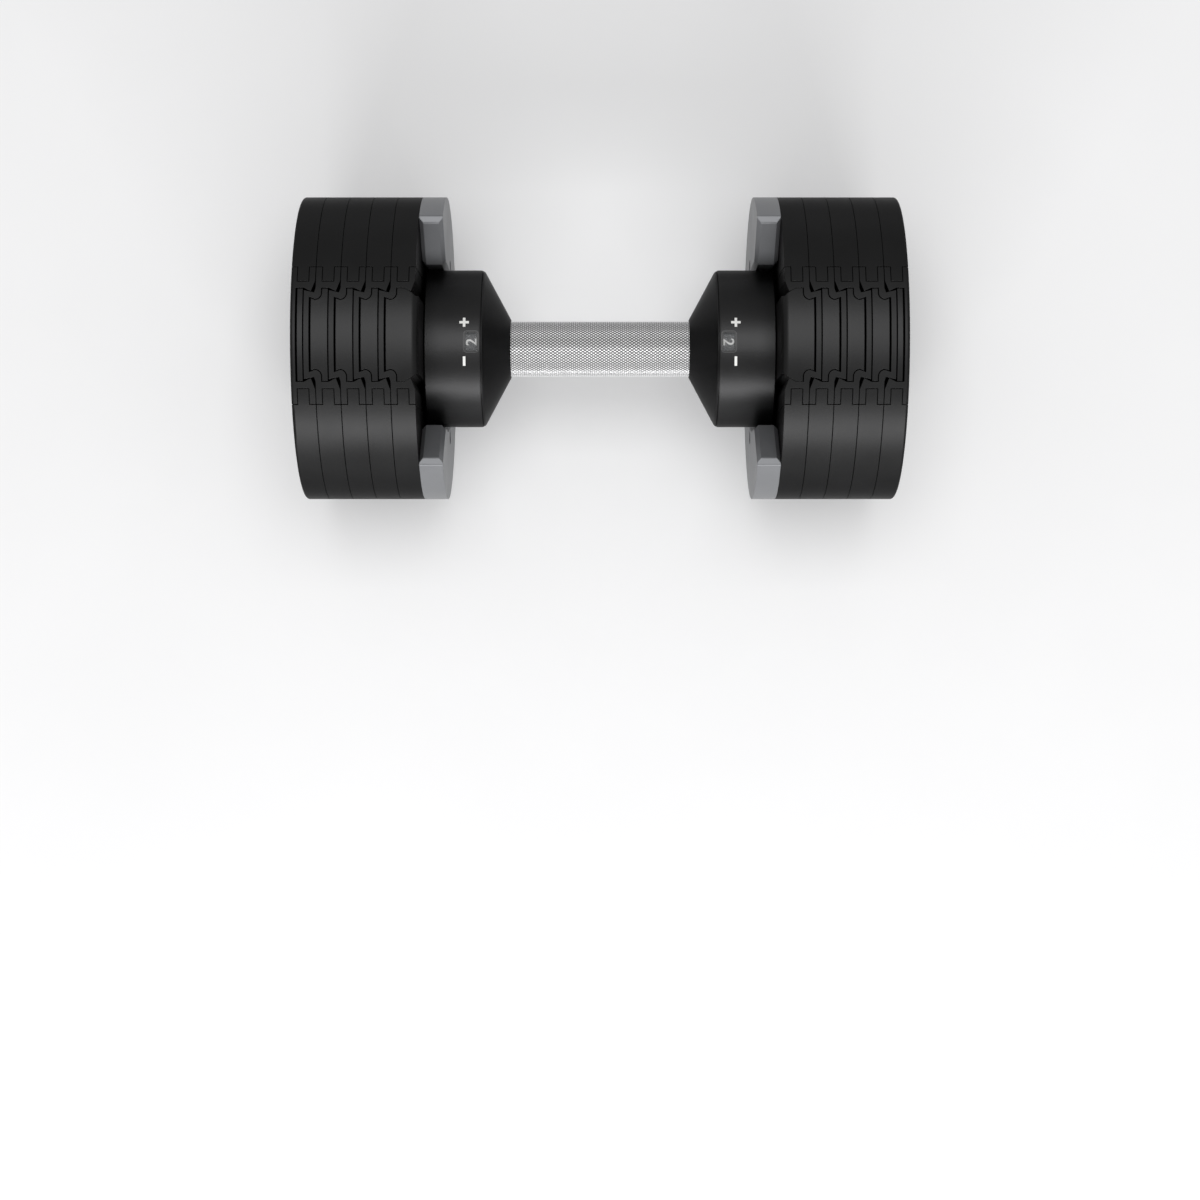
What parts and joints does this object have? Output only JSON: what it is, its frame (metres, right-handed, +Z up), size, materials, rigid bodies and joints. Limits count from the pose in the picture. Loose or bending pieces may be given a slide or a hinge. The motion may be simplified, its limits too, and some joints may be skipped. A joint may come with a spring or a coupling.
{
  "type": "adjustable dumbbell",
  "caption": "Adjustable dumbbell with a knurled twist handle that drives lock shafts into a row of slotted round plates at each end.",
  "frame": {"origin": "middle of the grip, on its axis", "axes": "+X along the grip, +Y across, +Z up; the plates hang open side up"},
  "size_m": [0.3416, 0.175, 0.175],
  "materials": {
    "black_steel": "satin black coated steel",
    "liner_plastic": "fine matt moulded plastic",
    "core_steel": "satin black coated steel",
    "screw_steel": "zinc-plated screw steel",
    "grey_steel": "satin mid grey coated steel",
    "hub_plastic": "satin black moulded plastic",
    "knurled_steel": "diamond-knurled bright plated steel",
    "bush_bronze": "oiled bearing bronze",
    "window_clear": "clear polished window",
    "button_plastic": "smooth acetal",
    "bar_steel": "ground steel, lightly oiled"
  },
  "bodies": {
    "handle_frame": {"right_hub_shell": "hub_plastic", "right_hub_cone": "hub_plastic", "right_hub_head": "core_steel", "right_head_screws": "screw_steel", "right_window_lens": "window_clear", "right_bearing_bush": "bush_bronze", "left_hub_shell": "hub_plastic", "left_hub_cone": "hub_plastic", "left_hub_head": "core_steel", "left_head_screws": "screw_steel", "left_window_lens": "window_clear", "left_bearing_bush": "bush_bronze", "key_bar": "bar_steel"},
    "grip": {"grip_sleeve": "knurled_steel", "drive_tube": "bar_steel", "left_number_dial": "hub_plastic", "right_number_dial": "hub_plastic"},
    "right_lock_shaft": {"right_lock_shaft": "bar_steel", "right_drive_pin": "bar_steel"},
    "right_lock_button": {"right_lock_button": "button_plastic", "right_button_spring": "bar_steel"},
    "right_plate_1": {"right_plate_1_disc": "black_steel", "right_plate_1_liner": "liner_plastic", "right_inner_plate": "grey_steel", "right_inner_plate_screws": "screw_steel"},
    "right_plate_2": {"right_plate_2_core": "core_steel", "right_plate_2_disc": "black_steel", "right_plate_2_liner": "liner_plastic"},
    "right_plate_3": {"right_plate_3_core": "core_steel", "right_plate_3_disc": "black_steel", "right_plate_3_liner": "liner_plastic"},
    "right_plate_4": {"right_plate_4_core": "core_steel", "right_plate_4_disc": "black_steel", "right_plate_4_liner": "liner_plastic"},
    "right_plate_5": {"right_plate_5_core": "core_steel", "right_plate_5_disc": "black_steel", "right_plate_5_liner": "liner_plastic"},
    "left_lock_shaft": {"left_lock_shaft": "bar_steel", "left_drive_pin": "bar_steel"},
    "left_lock_button": {"left_lock_button": "button_plastic", "left_button_spring": "bar_steel"},
    "left_plate_1": {"left_plate_1_disc": "black_steel", "left_plate_1_liner": "liner_plastic", "left_inner_plate": "grey_steel", "left_inner_plate_screws": "screw_steel"},
    "left_plate_2": {"left_plate_2_core": "core_steel", "left_plate_2_disc": "black_steel", "left_plate_2_liner": "liner_plastic"},
    "left_plate_3": {"left_plate_3_core": "core_steel", "left_plate_3_disc": "black_steel", "left_plate_3_liner": "liner_plastic"},
    "left_plate_4": {"left_plate_4_core": "core_steel", "left_plate_4_disc": "black_steel", "left_plate_4_liner": "liner_plastic"},
    "left_plate_5": {"left_plate_5_core": "core_steel", "left_plate_5_disc": "black_steel", "left_plate_5_liner": "liner_plastic"}
  },
  "joints": [
    {"name": "grip_turn", "type": "hinge", "parent": "handle_frame", "child": "grip", "pos_m": [0, 0, 0], "axis": [-1, 0, 0], "range_deg": [0, 324]},
    {"name": "right_lock_shaft_slide", "type": "slide", "parent": "handle_frame", "child": "right_lock_shaft", "axis": [1, 0, 0], "range_m": [0, 0.05355]},
    {"name": "right_lock_button_slide", "type": "slide", "parent": "handle_frame", "child": "right_lock_button", "axis": [0, 0, -1], "range_m": [0, 0.004], "stiffness_N_per_m": 250, "springref_m": 0.01, "deforming": ["right_button_spring"]},
    {"name": "right_plate_1_slide", "type": "slide", "parent": "handle_frame", "child": "right_plate_1", "axis": [0, 0, -1], "range_m": [0, 0.115]},
    {"name": "right_plate_2_slide", "type": "slide", "parent": "right_plate_1", "child": "right_plate_2", "axis": [0, 0, -1], "range_m": [0, 0.115]},
    {"name": "right_plate_3_slide", "type": "slide", "parent": "right_plate_2", "child": "right_plate_3", "axis": [0, 0, -1], "range_m": [0, 0.115]},
    {"name": "right_plate_4_slide", "type": "slide", "parent": "right_plate_3", "child": "right_plate_4", "axis": [0, 0, -1], "range_m": [0, 0.115]},
    {"name": "right_plate_5_slide", "type": "slide", "parent": "right_plate_4", "child": "right_plate_5", "axis": [0, 0, -1], "range_m": [0, 0.115]},
    {"name": "left_lock_shaft_slide", "type": "slide", "parent": "handle_frame", "child": "left_lock_shaft", "axis": [-1, 0, 0], "range_m": [0, 0.05355]},
    {"name": "left_lock_button_slide", "type": "slide", "parent": "handle_frame", "child": "left_lock_button", "axis": [0, 0, -1], "range_m": [0, 0.004], "stiffness_N_per_m": 250, "springref_m": 0.01, "deforming": ["left_button_spring"]},
    {"name": "left_plate_1_slide", "type": "slide", "parent": "handle_frame", "child": "left_plate_1", "axis": [0, 0, -1], "range_m": [0, 0.115]},
    {"name": "left_plate_2_slide", "type": "slide", "parent": "left_plate_1", "child": "left_plate_2", "axis": [0, 0, -1], "range_m": [0, 0.115]},
    {"name": "left_plate_3_slide", "type": "slide", "parent": "left_plate_2", "child": "left_plate_3", "axis": [0, 0, -1], "range_m": [0, 0.115]},
    {"name": "left_plate_4_slide", "type": "slide", "parent": "left_plate_3", "child": "left_plate_4", "axis": [0, 0, -1], "range_m": [0, 0.115]},
    {"name": "left_plate_5_slide", "type": "slide", "parent": "left_plate_4", "child": "left_plate_5", "axis": [0, 0, -1], "range_m": [0, 0.115]}
  ],
  "couplings": [
    {"joint": "right_lock_shaft_slide", "follows": "grip_turn", "m_per_rad": 0.009469},
    {"joint": "left_lock_shaft_slide", "follows": "grip_turn", "m_per_rad": 0.009469}
  ]
}
